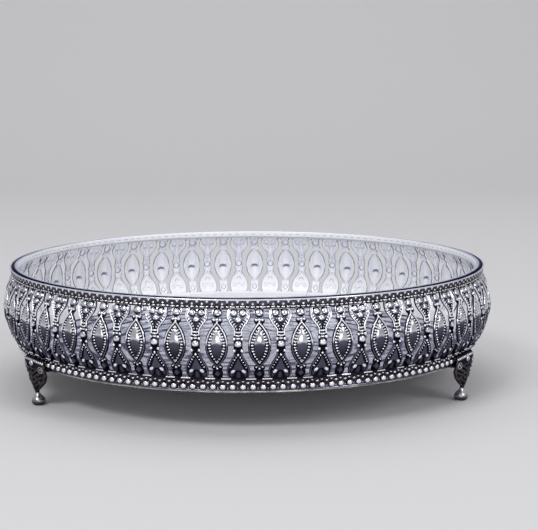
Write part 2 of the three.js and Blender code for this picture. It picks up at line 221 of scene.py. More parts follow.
def chain(curve, spacing):
    """Evenly spaced places along a curve of points, each with the curve's direction there."""
    leg = np.diff(curve, axis=0)
    along = np.concatenate([[0], np.cumsum(np.hypot(leg[:, 0], leg[:, 1]))])
    count = max(2, round(along[-1] / spacing))
    at = (np.arange(count) + 0.5) * along[-1] / count
    x, y = np.interp(at, along, curve[:, 0]), np.interp(at, along, curve[:, 1])
    k = np.clip(np.searchsorted(along, at) - 1, 0, len(leg) - 1)
    return [(x[i], y[i], math.atan2(leg[k[i], 1], leg[k[i], 0])) for i in range(len(at))]


LEAF_MIDDLE = 24.3
LEAF_WIDTH, LEAF_HALF = 6.25, 12.6
LINE_WIDTH, LINE_HALF = 5.6, 11.85
BAR_WIDTH, BAR_HALF = 3.95, 9.5
DOME_WIDTH, DOME_HALF = 3.05, 9.0
BAR_PITCH = 1.6
BELL_BAR_PITCH = 1.48
ARC_POWER = 2.05
DOME_HEIGHT = 1.38
CROWN_HEIGHT, CROWNS_HEIGHT = 1.4, 1.35

# Bosses on the right half of a column: place across, depth, reach across, reach along, height, any turn
LEAF_CROWN = (0, 7.5, 2.5, 2.35, CROWN_HEIGHT)
BELL_CROWN = (0, 11.0, 1.95, 1.95, CROWN_HEIGHT)
BELL_CROWN_PAIR = (2.5, 7.6, 2.15, 2.15, CROWNS_HEIGHT)
BELL_BALL = (0, 23.8, 2.2, 2.2, DOME_HEIGHT)
BELL_SEED = (3.05, 38.9, 1.9, 1.25, 1.0, 0.55)
# Where a painted highlight lies on each seed
SEED_PAINTED_HIGHLIGHT = (3.0, 38.7, 1.35, 0.75, 1.0, 0.55)
LEAF_KNOBS = ((1.75, 10.9, 0.8, 0.7, 0.6), (0, 10.8, 0.95, 0.8, 0.85), (0, 11.9, 0.5, 0.5, 0.6),
              (0, 37.3, 0.6, 0.55, 0.8), (1.7, 36.4, 0.75, 0.45, 0.5))
BELL_KNOBS = ((2.1, 20.8, 0.85, 0.85, 0.7), (2.1, 27.2, 0.85, 0.85, 0.7), (0, 29.5, 0.7, 0.7, 0.8))
# Bulges of a leaf column's outline: half width they stand on, depth, reach along, height
LEAF_HUMPS = ((0, 7.0, 3.3, 3.0), (1.9, 11.2, 1.4, 1.2), (2.1, 37.0, 1.4, 1.0), (0, 40.7, 3.5, 3.0))
# Rows of bars inside a bell's outline: first depth, last depth, reach along, greatest reach across
BELL_BAR_ROWS = ((8.8, 16.2, 0.47, 0.85), (30.2, 37.4, 0.42, 0.5))
# Rungs across a bell's neck: depth and reach across
BELL_RUNGS = ((17.4, 1.85), (19.05, 1.75), (20.6, 1.3))


def hump(drop, at, reach, height):
    """An outline's rounded bulge along its length."""
    return height * root(1 - ((drop - at) / reach) ** 2)


def leaf_edge(drop):
    """Half width of a leaf column at a depth below the top of the pattern."""
    leaf = LEAF_WIDTH * (1 - np.abs((drop - LEAF_MIDDLE) / LEAF_HALF) ** 2.4)
    humps = [width + hump(drop, *bulge) for width, *bulge in LEAF_HUMPS]
    return np.max([np.full_like(drop, 2.0), leaf, *humps], axis=0)


def arc_run(width, half):
    """The right side of a pointed leaf outline, as points from its top to its bottom."""
    run = np.linspace(-half * 0.995, half * 0.995, 400)
    return np.stack([width * (1 - np.abs(run / half) ** ARC_POWER), run], -1)


def leaf_relief(x, drop):
    """Height and tone of a leaf column."""
    side = np.abs(x)
    along = drop - LEAF_MIDDLE
    share = np.abs(along / LINE_HALF)
    level = side / LINE_WIDTH - (1 - share ** ARC_POWER)
    distance = level / np.hypot(1 / LINE_WIDTH, ARC_POWER / LINE_HALF * share ** (ARC_POWER - 1))
    height = 0.12 * unit(-distance / 0.3)
    line = ridge(distance, 0.42, 0.66)
    bars = np.zeros_like(height)
    for at_x, at_y, turn in chain(arc_run(BAR_WIDTH, BAR_HALF), BAR_PITCH):
        low = unit((at_y - 2.0) / 4.0)
        across = 0.6 + (0.3 - 0.22 * low) * max(0, 1 - (at_y / BAR_HALF) ** 2)
        bars = np.maximum(bars, boss(side, along, at_x, at_y, 0.49 - 0.04 * low, across, 0.8, turn))
    for at_y in (-BAR_HALF, BAR_HALF):
        bars = np.maximum(bars, boss(side, along, 0, at_y, 0.55, 0.55, 0.8))
    body = np.clip(1 - np.abs(along / DOME_HALF) ** ARC_POWER, 1e-6, None)
    across = side / (DOME_WIDTH * body)
    dome = DOME_HEIGHT * body ** 0.6 * root(1 - across ** 2) * (np.abs(along) < DOME_HALF)
    crown = boss(side, drop, *LEAF_CROWN)
    knobs = np.max([boss(side, drop, *knob) for knob in LEAF_KNOBS], axis=0)
    kite = np.clip(1 - side / 2.4 - np.abs(drop - 40.3) / 2.6, 0, None)
    kite = np.minimum(2.2 * kite, 0.9)
    height = np.max([height, line, bars, dome, knobs, crown, kite], axis=0)
    # Painted light: the ground is paler near the top of the pattern, and the outline and bars are painted
    # darker below the leaf's middle.
    low = unit((along + 1.2) / 1.6)
    tone = ground_tone(height) + 0.70 * unit((11.8 - drop) / 2.2)
    tone = np.where((line > 0.2 + 0.3 * low) & (line >= bars), 1.0 - 0.5 * low, tone)
    tone = np.where(bars > 0.15, 1.0 - 0.10 * low, tone)
    # Painted reflection on the dome: a bright upper half, with painted shade below a horizon line a little
    # above its middle.
    dome_painted_shade = 0.40 - 0.03 * np.clip(along, 0, 8)
    below = unit((along + 1.9 - 0.12 * side ** 2) / 1.3)
    tone = np.where(dome > 0.3, 0.86 + (dome_painted_shade - 0.86) * below, tone)
    tone = np.where(crown > 0.3, knob_painted_light(crown, CROWN_HEIGHT, (drop - 8.3) / 1.2), tone)
    tone = np.where((knobs > 0.25) & (knobs >= bars), 1.0, tone)
    tone = np.where(kite > 0.15, 0.16 + 0.22 * (kite > 0.85), tone)
    return height, tone


def bell_edge(drop):
    """Half width of a bell column at a depth below the top of the pattern."""
    def ease(share):
        return 0.5 + 0.5 * np.cos(np.pi * unit(share))

    top_neck = 1.9 + 4.7 * ease((drop - 8.5) / 9.7)
    low_neck = 2.0 + 4.6 * ease((39.5 - drop) / 11.5) ** 0.75
    top = np.where(drop < 8.5, 6.6 - 0.09 * (8.5 - drop) ** 2, top_neck)
    low = np.where(drop > 39.5, 6.6 - 0.07 * (drop - 39.5) ** 2, low_neck)
    waist = np.where((drop > 16) & (drop < 30), 2.4, 0)
    balls = np.maximum(1.99 + hump(drop, 20.8, 1.0, 1.0), 1.99 + hump(drop, 27.2, 1.0, 1.0))
    balls = np.where((drop > 19.8) & (drop < 28.2), balls, 0)
    return np.max([np.where(drop < 24, top, low), waist, balls], axis=0)


def bell_relief(x, drop):
    """Height and tone of a bell column: two bells foot to foot, joined by a waist of beads."""
    side = np.abs(x)
    edge = bell_edge(drop)
    slope = (bell_edge(drop + 0.05) - bell_edge(drop - 0.05)) / 0.1
    inset = (edge - side) / np.sqrt(1 + slope ** 2)
    framed = (drop < 19.0) | (drop > 28.5)
    line = np.where(framed, ridge(inset - 0.48, 0.44, 0.66), 0)
    plain = 0.1 * unit(inset / 0.4)
    bars = np.zeros_like(line)
    for start, end, reach, long in BELL_BAR_ROWS:
        run = np.linspace(start, end, 200)
        width = bell_edge(run)
        lean = np.gradient(width, run)
        curve = np.stack([width - 1.72 * np.sqrt(1 + lean ** 2), run], -1)
        curve = curve[curve[:, 0] > 0.25]
        for at_x, at_y, turn in chain(curve, BELL_BAR_PITCH):
            across = min(long, max(0.42, 0.35 + 0.2 * at_x))
            bars = np.maximum(bars, boss(side, drop, at_x, at_y, reach, across, 0.78, turn))
    for at_y, reach in BELL_RUNGS:
        bars = np.maximum(bars, boss(side, drop + 0.10 * side ** 2, 0, at_y, reach, 0.5, 0.85))
    tail = unit((16.6 - drop) / 5.4)
    tear = 1.3 * tail ** 0.7 * root(1 - (side / (0.25 + 1.75 * tail)) ** 2)
    tear = np.where((drop > 11.0) & (drop < 16.6), tear, 0)
    pair = boss(side, drop, *BELL_CROWN_PAIR)
    crowns = np.maximum(pair, boss(side, drop, *BELL_CROWN))
    knobs = np.max([boss(side, drop, *knob) for knob in BELL_KNOBS], axis=0)
    ball = boss(side, drop, *BELL_BALL)
    seeds = boss(side, drop, *BELL_SEED)
    share = np.clip((drop - 31) / 7.0, 1e-6, 1)
    plate = 0.8 * share ** 0.5 * root(1 - (side / (3.2 * share)) ** 2)
    plate = np.where((drop > 31) & (drop < 38.0), plate, 0)
    spread = np.arctan2(x, drop - 36.0)
    fan = (0.35 + 0.35 * np.cos(spread * 9)) * unit(drop - 39.0) * unit((inset - 1.2) / 0.4)
    height = np.max([line, plain, bars, tear, knobs, crowns, ball, seeds, plate, 0.6 * fan], axis=0)
    # Painted light: the ground is paler near the top of the pattern, and the lower bell's outline and bars
    # are painted darker than the upper bell's.
    tone = ground_tone(height) + 0.70 * unit((12.2 - drop) / 3.0)
    tone = np.where(plate > 0.2, 0.37, tone)
    tone = np.where(fan > 0.1, 0.14 + 0.30 * fan, tone)
    tone = np.where((line > 0.2) & (line >= bars), np.where(drop < 24, 1.0, 0.52), tone)
    tone = np.where(bars > 0.15, np.where(drop < 24, 1.0, 0.85), tone)
    tone = np.where((tear > 0.2) & (tear > crowns), 0.30 - 0.04 * (drop - 12), tone)
    tone = np.where((knobs > 0.25) & (knobs >= bars), 1.0, tone)
    # Where the painted shade on the crowns' undersides begins.
    under = np.where(drop < 9.2 + 0.35 * side, (drop - 8.2) / 1.3, drop - 11.4)
    tone = np.where(crowns > 0.3, knob_painted_light(crowns, CROWNS_HEIGHT, under), tone)
    tone = np.where(ball > 0.3, knob_painted_light(ball, DOME_HEIGHT, drop - 24.2), tone)
    # A painted highlight on each seed, with the rest of the seed dark.
    bright = boss(side, drop, *SEED_PAINTED_HIGHLIGHT)
    tone = np.where(seeds > 0.3, np.where(bright > 0.2, 1.0, 0.26), tone)
    return height, tone


# The wall, in three lengths

WALL_ROWS = 160
LEAF_ACROSS = np.array([0, .12, .24, .34, .42, .485, .53, .58, .63, .68, .73, .78, .825, .865, .90, .94, 1])
BELL_ACROSS = np.linspace(0, 1, 17) ** 0.9
# Tones of the wall's plain parts, and how far a slot's edge turns inwards
EDGE_TONE, BACK_EDGE_TONE, HEAD_TONE, LEDGE_TONE, RAIL_BACK_TONE = 0.12, 0.30, 0.22, 0.10, 0.86
EDGE_TURN = 0.12
HEAD_RAIL = [(145.45, 69.2), (145.45, 70.2), (145.45, 71.4), (145.45, 72.5)]
LEDGE = [(145.3, 30.8), (145.65, 30.5), (145.6, 30.1), (145.2, 29.95), (144.2, 29.9), (143.1, 29.85),
         (143.0, 29.75), (142.9, 29.6), (142.6, 29.45), (141.6, 29.35), (141.2, 28.4), (141.1, 23.0)]


def mirrored(half):
    """A column's lines on both sides of its middle."""
    return np.concatenate([-half[:0:-1], half])


def pocket_painted_reflection(x, drop):
    """Painted reflection in the pocket behind a leaf's dome: a grey crescent below its middle."""
    along = drop[:, None] - LEAF_MIDDLE
    return np.exp(-((along - 0.6 - 0.16 * x ** 2) / 0.85) ** 2 - (x / 2.3) ** 4)


def corner_mark(x, drop):
    """The small grey corner at the top of the lower bell, seen from inside."""
    return 0.4 * np.exp(-((drop[:, None] - 33.2 - 0.9 * np.abs(x)) / 0.6) ** 2) * (np.abs(x) < 1.7)


def column(edge, relief_of, across, mark):
    """One column of the wall: angle offset, radius, height and tone of its front and of its back."""
    tilt = np.linspace(-ARC_HALF, ARC_HALF, WALL_ROWS + 1)
    row_step = 2 * ARC_HALF * ARC_RADIUS / WALL_ROWS
    height = ARC_MIDDLE + ARC_RADIUS * np.sin(tilt)
    drop = PATTERN_TOP - height
    x = edge(drop)[:, None] * mirrored(across)
    level, tone = relief_of(x, np.repeat(drop[:, None], x.shape[1], 1))
    level[:, [0, -1]] = -EDGE_TURN
    # Painted shade: the tone darkens on slopes that face downwards, less near the top of the pattern.
    rise = -np.gradient(blurred(level, 3), axis=0) / row_step
    painted_slope_shade = 0.3 - 0.18 * unit((11.0 - drop) / 2.0)
    tone = unit(tone + painted_slope_shade[:, None] * np.clip(rise + 0.15, -1.0, 0))
    tone[:, [0, -1]] = EDGE_TONE
    radius = ARC_CENTRE + (ARC_RADIUS + level) * np.cos(tilt)[:, None]
    high = ARC_MIDDLE + (ARC_RADIUS + level) * np.sin(tilt)[:, None]
    soft = blurred(level, 1)
    behind = (0.85 * soft - SHEET)[::2, ::2]
    # Painted shade on the inside: the tone greys on steep slopes and darkens where the inside faces
    # downwards, and the column's mark is taken off.
    fall = np.gradient(soft, axis=0) / row_step
    steep = np.hypot(fall, np.gradient(soft, axis=1) / np.gradient(x, axis=1))
    back_tone = 1.0 - 0.50 * np.clip(steep - 0.12, 0, 1.2) - 0.16 * np.clip(fall, -0.6, 1) - mark(x, drop)
    back_tone[:, [0, -1]] = BACK_EDGE_TONE
    back_tilt = tilt[::2, None]
    back_radius = ARC_CENTRE + (ARC_RADIUS + behind) * np.cos(back_tilt)
    back_high = ARC_MIDDLE + (ARC_RADIUS + behind) * np.sin(back_tilt)
    return {"offset": x / SCALE_RADIUS, "radius": radius, "height": high, "tone": tone,
            "back": (x[::2, ::2] / SCALE_RADIUS, back_radius, back_high),
            "back_tone": unit(back_tone[::2, ::2])}


def profile_normals(profile):
    """Outward directions along a run of (radius, height) points that goes upwards."""
    run = np.gradient(profile, axis=0)
    run /= np.linalg.norm(run, axis=1)[:, None]
    return np.stack([run[:, 1], -run[:, 0]], -1)


def rail_lines(columns, start, end):
    """The rails' lines: angles at the top and at the foot, and the column and line that each lies on."""
    tops, feet, owners = [], [], []

    def cross(top, foot, next_top, next_foot, shares):
        """Lines over a slot, which lie on no column."""
        for share in shares:
            tops.append(top + share * (next_top - top))
            feet.append(foot + share * (next_foot - foot))
            owners.append((-1, 0))

    for k, angle in enumerate(columns):
        top, foot = angle[-1], angle[0]
        if k == 0:
            cross(start, start, top[0], foot[0], (0, 0.5))
        else:
            cross(tops[-1], feet[-1], top[0], foot[0], (0.25, 0.5, 0.75))
        tops.extend(top)
        feet.extend(foot)
        owners.extend((k, j) for j in range(len(top)))
    cross(tops[-1], feet[-1], end, end, (0.5, 1.0))
    return np.array(tops), np.array(feet), np.array(owners)


def rail(skin, grids, owners, angles, profile, way):
    """Front and back grids of a rail that runs on from the columns: up where way is 1, down where -1."""
    over_slot = owners[:, 0] < 0
    corner = (ARC_CENTRE + ARC_RADIUS * math.cos(ARC_HALF), SLOT_HIGH if way > 0 else SLOT_LOW)
    line = np.array([corner] + profile)
    normal = way * profile_normals(line)
    normal[0] = (math.cos(ARC_HALF), way * math.sin(ARC_HALF))
    radius, height = line.T[:, :, None] + 0 * angles
    shade = np.full(radius.shape, HEAD_TONE if way > 0 else LEDGE_TONE)
    if way < 0:
        # A painted highlight along the ledge, under the slots and a little beyond them.
        sill_painted_highlight = np.convolve(over_slot, np.ones(11), "same") > 0
        shade[2:4, sill_painted_highlight] = 1.0
    outer = place(radius, angles, height)
    front = np.zeros(radius.shape, dtype=int)
    front[1:] = skin.add(outer[1:], shade[1:])
    front[0, over_slot] = skin.add(outer[0, over_slot], shade[0, over_slot])
    inner = place(radius - SHEET * normal[:, :1], angles, height - SHEET * normal[:, 1:])
    even = over_slot & (np.arange(len(angles)) % 2 == 0)
    back = np.full(radius.shape, -1)
    back[2::2, ::2] = skin.add(inner[2::2, ::2], RAIL_BACK_TONE)
    back[0, even] = skin.add(inner[0, even], RAIL_BACK_TONE)
    end_row = -1 if way > 0 else 0
    for i, (k, j) in enumerate(owners):
        if k >= 0:
            front[0, i] = grids[k][0][end_row, j]
            if j % 2 == 0:
                back[0, i] = grids[k][1][end_row, j // 2]
    return front[::way], back[::way][::2, ::2]


def wall_length(number, first, repeats, leaf, bell, materials):
    """One soldered length of the wall: its columns, joined by a rail above and a ledge below."""
    skin = Surface()
    grids, columns = [], []
    for k in range(2 * repeats):
        shape = leaf if k % 2 else bell
        centre = first + (k / 2 + 0.25) * STEP
        columns.append(centre + shape["offset"])
        front = skin.add(place(shape["radius"], columns[-1], shape["height"]), shape["tone"])
        offset, radius, height = shape["back"]
        back = skin.add(place(radius, centre + offset, height), shape["back_tone"])
        grids.append((front, back))
    tops, feet, owners = rail_lines(columns, first + SEAM_GAP, first + repeats * STEP - SEAM_GAP)
    grids += [rail(skin, grids, owners, tops, HEAD_RAIL, 1), rail(skin, grids, owners, feet, LEDGE, -1)]
    outer = np.concatenate([quads(front) for front, _ in grids])
    inner = np.concatenate([quads(back)[:, ::-1] for _, back in grids])
    back_of = np.full(skin.count, -1)
    for front, back in grids:
        back_of[front[::2, ::2]] = back
    skin.face(outer)
    skin.face(inner, 1)
    skin.face(closing_walls(outer, back_of), 2)
    skin.make(f"wall_length_{number}", materials, SMOOTH_ANGLE, f"gallery_length_{number}")


# Materials

GRAIN_DEPTH = 0.0002


class Nodes:
    """A material's nodes, with short calls to add and join them."""

    def __init__(self, name):
        self.material = bpy.data.materials.new(name)
        self.material.use_nodes = True
        self.tree = self.material.node_tree
        self.shader = self.tree.nodes["Principled BSDF"]
        self.place = self.tree.nodes.new("ShaderNodeTexCoord").outputs["Object"]

    def add(self, kind, inputs=None, **settings):
        """A new node, with its settings and inputs given."""
        node = self.tree.nodes.new(kind)
        for key, value in settings.items():
            setattr(node, key, value)
        for key, value in (inputs or {}).items():
            self.put(value, node.inputs[key])
        return node

    def put(self, value, socket):
        """Feeds a socket with another socket, a number or a colour."""
        if isinstance(value, bpy.types.NodeSocket):
            self.tree.links.new(value, socket)
        else:
            socket.default_value = value if isinstance(value, (int, float)) else (*value, 1)

    def noise(self, scale, detail, roughness):
        return self.add("ShaderNodeTexNoise", {"Vector": self.place, "Scale": scale, "Detail": detail,
                                               "Roughness": roughness}).outputs["Fac"]

    def ramp(self, value, stops):
        """The colour that stops of (place, colour) give a value."""
        node = self.add("ShaderNodeValToRGB", {"Fac": value})
        elements = node.color_ramp.elements
        while len(elements) < len(stops):
            elements.new(0.5)
        for element, (at, colour) in zip(elements, stops):
            element.position = at
            element.color = (*colour, 1)
        return node.outputs["Color"]

    def mix(self, share, first, second):
        """Two colours mixed, with the second's share given."""
        node = self.add("ShaderNodeMix", data_type="RGBA")
        self.put(share, node.inputs[0])
        self.put(first, node.inputs[6])
        self.put(second, node.inputs[7])
        return node.outputs[2]

    def maths(self, kind, first, second):
        node = self.add("ShaderNodeMath", operation=kind)
        self.put(first, node.inputs[0])
        self.put(second, node.inputs[1])
        return node.outputs[0]

    def range(self, value, low, high, new_low, new_high):
        """A value carried from one span to another."""
        return self.add("ShaderNodeMapRange", {"Value": value, "From Min": low, "From Max": high,
                                               "To Min": new_low, "To Max": new_high}).outputs[0]

    def bump(self, value, strength, distance):
        node = self.add("ShaderNodeBump", {"Height": value, "Strength": strength, "Distance": distance})
        return node.outputs["Normal"]

    def tone(self):
        """The tone that the mesh gives each point."""
        return self.add("ShaderNodeAttribute", attribute_name="tone").outputs["Fac"]

    def clouded_tone(self, cloud, share):
        """The mesh's tone, made uneven by a cloud."""
        swing = self.maths("MULTIPLY", self.maths("SUBTRACT", cloud, 0.5), share)
        return self.maths("ADD", self.tone(), swing)

    def finish(self, **sockets):
        """The material, with the shader's sockets fed by name."""
        for key, value in sockets.items():
            self.put(value, self.shader.inputs[key.replace("_", " ")])
        return self.material


def aged_silver(name, recess=(0.010, 0.009, 0.017), middle=(0.17, 0.168, 0.235), high=(0.92, 0.93, 0.98),
                rough=(0.1, 0.26), warm=0.0, matt=0.6, grazing=(1, 1, 1)):
    """Silver with dark hollows and bright high spots, led by each point's tone, which also carries painted
    highlights and painted shade.
    """
    nodes = Nodes(name)
    blotch = nodes.noise(55, 4, 0.6)
    fine = nodes.noise(900, 2, 0.5)
    tone = nodes.clouded_tone(blotch, 0.3)
    dusk = [a + 0.4 * (b - a) for a, b in zip(recess, middle)]
    bright = [a + 0.5 * (b - a) for a, b in zip(middle, high)]
    colour = nodes.ramp(tone, [(0.12, recess), (0.34, dusk), (0.55, middle), (0.74, bright), (0.92, high)])
    if warm:
        share = nodes.maths("MULTIPLY", nodes.noise(30, 3, 0.6), warm)
        colour = nodes.mix(share, colour, (0.62, 0.48, 0.30))
    blend = nodes.maths("ADD", nodes.maths("MULTIPLY", fine, 0.4), nodes.maths("MULTIPLY", blotch, 0.6))
    grain = nodes.range(blend, 0.3, 0.7, *rough)
    roughness = nodes.maths("ADD", grain, nodes.range(tone, 0.2, 0.6, 0.16, 0.0))
    metallic = nodes.range(tone, 0.88, 0.97, 1.0, matt)
    tint = nodes.mix(nodes.range(tone, 0.1, 0.6, 0.0, 1.0), (0.22, 0.21, 0.28), grazing)
    return nodes.finish(Base_Color=colour, Metallic=metallic, Roughness=roughness, Specular_Tint=tint,
                        Normal=nodes.bump(fine, 0.1, GRAIN_DEPTH))


def frosted_silver(name):
    """The wall's white inside: silver left matt from the pickling bath, with painted shade on its slopes
    and a painted reflection in each pocket.
    """
    nodes = Nodes(name)
    cloud = nodes.noise(40, 4, 0.6)
    fine = nodes.noise(1400, 2, 0.5)
    tone = nodes.clouded_tone(cloud, 0.2)
    stops = [(0.0, (0.09, 0.09, 0.14)), (0.4, (0.30, 0.31, 0.41)), (0.7, (0.74, 0.76, 0.86)),
             (0.9, (0.97, 0.975, 1.0))]
    colour = nodes.ramp(tone, stops)
    return nodes.finish(Base_Color=colour, Metallic=0.1, Roughness=nodes.range(cloud, 0.3, 0.7, 0.42, 0.58),
                        Normal=nodes.bump(fine, 0.12, GRAIN_DEPTH))


def polished(name, colour, second, scale, rough):
    """Bare metal whose colour drifts between two shades."""
    nodes = Nodes(name)
    cloud = nodes.noise(scale, 4, 0.6)
    fine = nodes.noise(1200, 2, 0.5)
    mixed = nodes.mix(nodes.range(cloud, 0.35, 0.65, 0, 1), colour, second)
    return nodes.finish(Base_Color=mixed, Metallic=1.0, Roughness=nodes.range(fine, 0.3, 0.7, *rough),
                        Normal=nodes.bump(fine, 0.05, GRAIN_DEPTH))


def wavy_silver(name):
    """The floor's polished sheet, with painted reflections: blue-grey streaks along its waves."""
    nodes = Nodes(name)
    look = {"Vector": nodes.place, "Scale": 62.0, "Detail": 3.0, "Roughness": 0.55, "Distortion": 1.6}
    wave = nodes.add("ShaderNodeTexNoise", look).outputs["Fac"]
    fine = nodes.noise(1200, 2, 0.5)
    tone = nodes.maths("MULTIPLY", nodes.tone(), nodes.range(wave, 0.34, 0.54, 0.15, 1.0))
    colour = nodes.ramp(tone, [(0.0, (0.57, 0.575, 0.61)), (0.8, (0.63, 0.635, 0.67))])
    stops = [(0.0, (0.06, 0.065, 0.115)), (0.25, (0.35, 0.36, 0.46)), (0.6, (0.95, 0.96, 1.0))]
    tint = nodes.ramp(tone, stops)
    return nodes.finish(Base_Color=colour, Metallic=1.0, Roughness=nodes.range(fine, 0.3, 0.7, 0.06, 0.14),
                        Specular_Tint=tint, Normal=nodes.bump(wave, 0.25, 0.001))


outside = aged_silver("aged_silver_relief")
inside = frosted_silver("frosted_silver_inside")
cut_edge = polished("cut_edge_silver", (0.10, 0.10, 0.13), (0.26, 0.26, 0.32), 300, (0.25, 0.4))
lip_metal = aged_silver("bright_silver_lip", middle=(0.36, 0.365, 0.45), high=(0.80, 0.83, 0.94),
                        rough=(0.08, 0.2), grazing=(0.70, 0.73, 0.86))
floor_metal = wavy_silver("polished_floor_sheet")
brassy = polished("brassy_edge", (0.24, 0.22, 0.20), (0.62, 0.60, 0.57), 160, (0.2, 0.34))
band_metal = aged_silver("aged_silver_band", recess=(0.014, 0.011, 0.020), warm=0.05)
border_metal = aged_silver("aged_silver_border", recess=(0.012, 0.010, 0.018), middle=(0.14, 0.13, 0.175),
                           warm=0.04)
foot_metal = aged_silver("dark_silver_cast", recess=(0.008, 0.007, 0.010), middle=(0.075, 0.072, 0.092),
                         high=(0.66, 0.65, 0.70), rough=(0.16, 0.32), warm=0.06, matt=0.9)

leaf_column = column(leaf_edge, leaf_relief, LEAF_ACROSS, pocket_painted_reflection)
bell_column = column(bell_edge, bell_relief, BELL_ACROSS, corner_mark)
first_angle = SEAM
for index, repeats in enumerate(LENGTH_REPEATS):
    wall_length(index + 1, first_angle, repeats, leaf_column, bell_column, [outside, inside, cut_edge])
    first_angle += repeats * STEP

# Border, lip, band, floor

SHELLS = 168
BEADS = 164
SHELL_LINES = BEAD_LINES = 20
SHELL_ROWS, BEAD_ROWS = 20, 24
FLOOR_RINGS, FLOOR_SIDES = 110, 246
WAVES_END, WAVES_FADE = 136, 12
BORDER_FACE, BORDER_THICKNESS = LIP_OUTER - 0.95, 0.5
BAND_FACE, BAND_THICKNESS = 142.5, 1.0
SHELL_RADIUS = 146.6
HALF_SHELL = TURN * SHELL_RADIUS / SHELLS / 2
HALF_BEAD = TURN * BAND_FACE / BEADS / 2
# Beads of the band: place across, height, reach, rise, tone
BAND_BEADS = (
    (0, 25.25, 1.78, 1.6, 0.98),
    (HALF_BEAD, 27.6, 0.92, 0.8, 0.95),
    (0, 28.2, 0.72, 0.55, 0.85),
    (HALF_BEAD, 24.3, 0.6, 0.4, 0.60),
)


def hoop_strip(name, radius, thickness, low, high, count, across, rows, relief_of, metal, node):
    """A thin hoop whose face carries a repeated relief, with a plain back."""
    skin = Surface()
    around = count * across
    angle = np.arange(around) * TURN / around
    height = np.linspace(low, high, rows + 1)
    x = (np.arange(around) % across / across - 0.5) * TURN * radius / count
    level, tone = relief_of(*np.meshgrid(x, height), np.arange(around)[None, :] // across)
    front = skin.add(place(radius + level, angle, height[:, None]), tone)
    inner_radius = radius - thickness + 0 * level[::2, ::2]
    back = skin.add(place(inner_radius, angle[::2], height[::2, None]), 0.4)
    back_of = np.full(skin.count, -1)
    back_of[front[::2, ::2]] = back
    outer = quads(closed_round(front))
    skin.face(outer)
    skin.face(quads(closed_round(back))[:, ::-1])
    skin.face(closing_walls(outer, back_of))
    skin.make(name, [metal], SMOOTH_ANGLE, node)


SHELL_MIDDLE = 3.35
SHELL_REACH = 2.35
SHELL_BEAD = (0, 3.15, 0.62, 0.6, 0.62)


def shell_relief(x, height, number):
    """Dark scallop shells with bright teeth between their tops, over a row of long beads."""
    drop = RIM_TOP - height
    side, dy = np.abs(x), SHELL_MIDDLE - drop
    far = np.hypot(x, dy)
    fan = np.arctan2(x, dy)
    above = dy > -0.55
    dish = 0.38 * root(1 - (far / (SHELL_REACH + 0.3)) ** 2) * above
    rays = 0.5 + 0.5 * np.cos(fan * 11)
    level = dish * (0.8 + 0.2 * rays)
    tone = 0.12 + 0.16 * rays * above
    for reach, up, shade in ((SHELL_REACH - 0.2, 0.42, 0.44), (SHELL_REACH - 0.95, 0.30, 0.46)):
        arc = ridge(far - reach, 0.27, up) * above
        level, tone = laid(level, tone, arc, 0.55 * up, shade)
    edge_far = np.abs(far - SHELL_REACH - 0.22) < 0.17
    tone = np.where(edge_far & above, 0.0, tone)
    tooth = unit((3.0 - drop - 1.25 * (HALF_SHELL - side)) / 0.35) * (far > SHELL_REACH + 0.25)
    level, tone = laid(level, tone, 0.5 * tooth, 0.1, 1.0)
    level, tone = laid(level, tone, boss(x, drop, *SHELL_BEAD), 0.2, 0.98)
    lift = 0.12 * np.sin(number * 2.4)
    for at, reach in ((0.0, 1.25 + 0.35 * np.sin(number * 1.9)), (HALF_SHELL, 0.85)):
        low_bead = boss(side, drop, at, 4.65 + 0.6 * lift, reach, 0.42, 0.45)
        level, tone = laid(level, tone, low_bead, 0.1, 1.0)
    return level, tone


hoop_strip("shell_border", BORDER_FACE, BORDER_THICKNESS, BORDER_LOW, BORDER_HIGH, SHELLS, SHELL_LINES,
           SHELL_ROWS, shell_relief, border_metal, "rim_border")

# The lip's outline in runs: distance in from the outer edge, depth below the top, tone, material
DASHED = 0.5
LIP_SLOPE = [(0.95, 0.72, 0.10, 0), (1.2, 0.70, 0.03, 0), (1.7, 0.58, 0.06, 0), (2.3, 0.37, 0.16, 0),
             (2.8, 0.18, 0.30, 0), (3.05, 0.12, 0.45, 0)]
LIP_SKIRT = [(4.97, 0.42, 0.85, 1), (5.08, 0.8, 0.85, 1), (5.1, 1.3, 0.9, 1), (5.1, 1.75, 0.9, 1),
             (5.1, 2.1, DASHED, 1), (5.1, 2.4, 0.9, 1), (5.1, 3.5, 0.85, 1), (4.95, 3.75, 0.8, 1),
             (4.72, 3.7, 0.6, 1)]
LIP_UNDER = [(4.6, 3.4, 0.3, 0), (4.55, 1.1, 0.3, 0), (4.2, 1.0, 0.3, 0), (0.9, 0.99, 0.1, 0)]


def lip_roll(inset, depth, reach, rise, tone, degrees):
    """A rounded run of the lip's outline."""
    return [(inset - reach * math.cos(a), depth - rise * math.sin(a), tone, 0) for a in np.radians(degrees)]


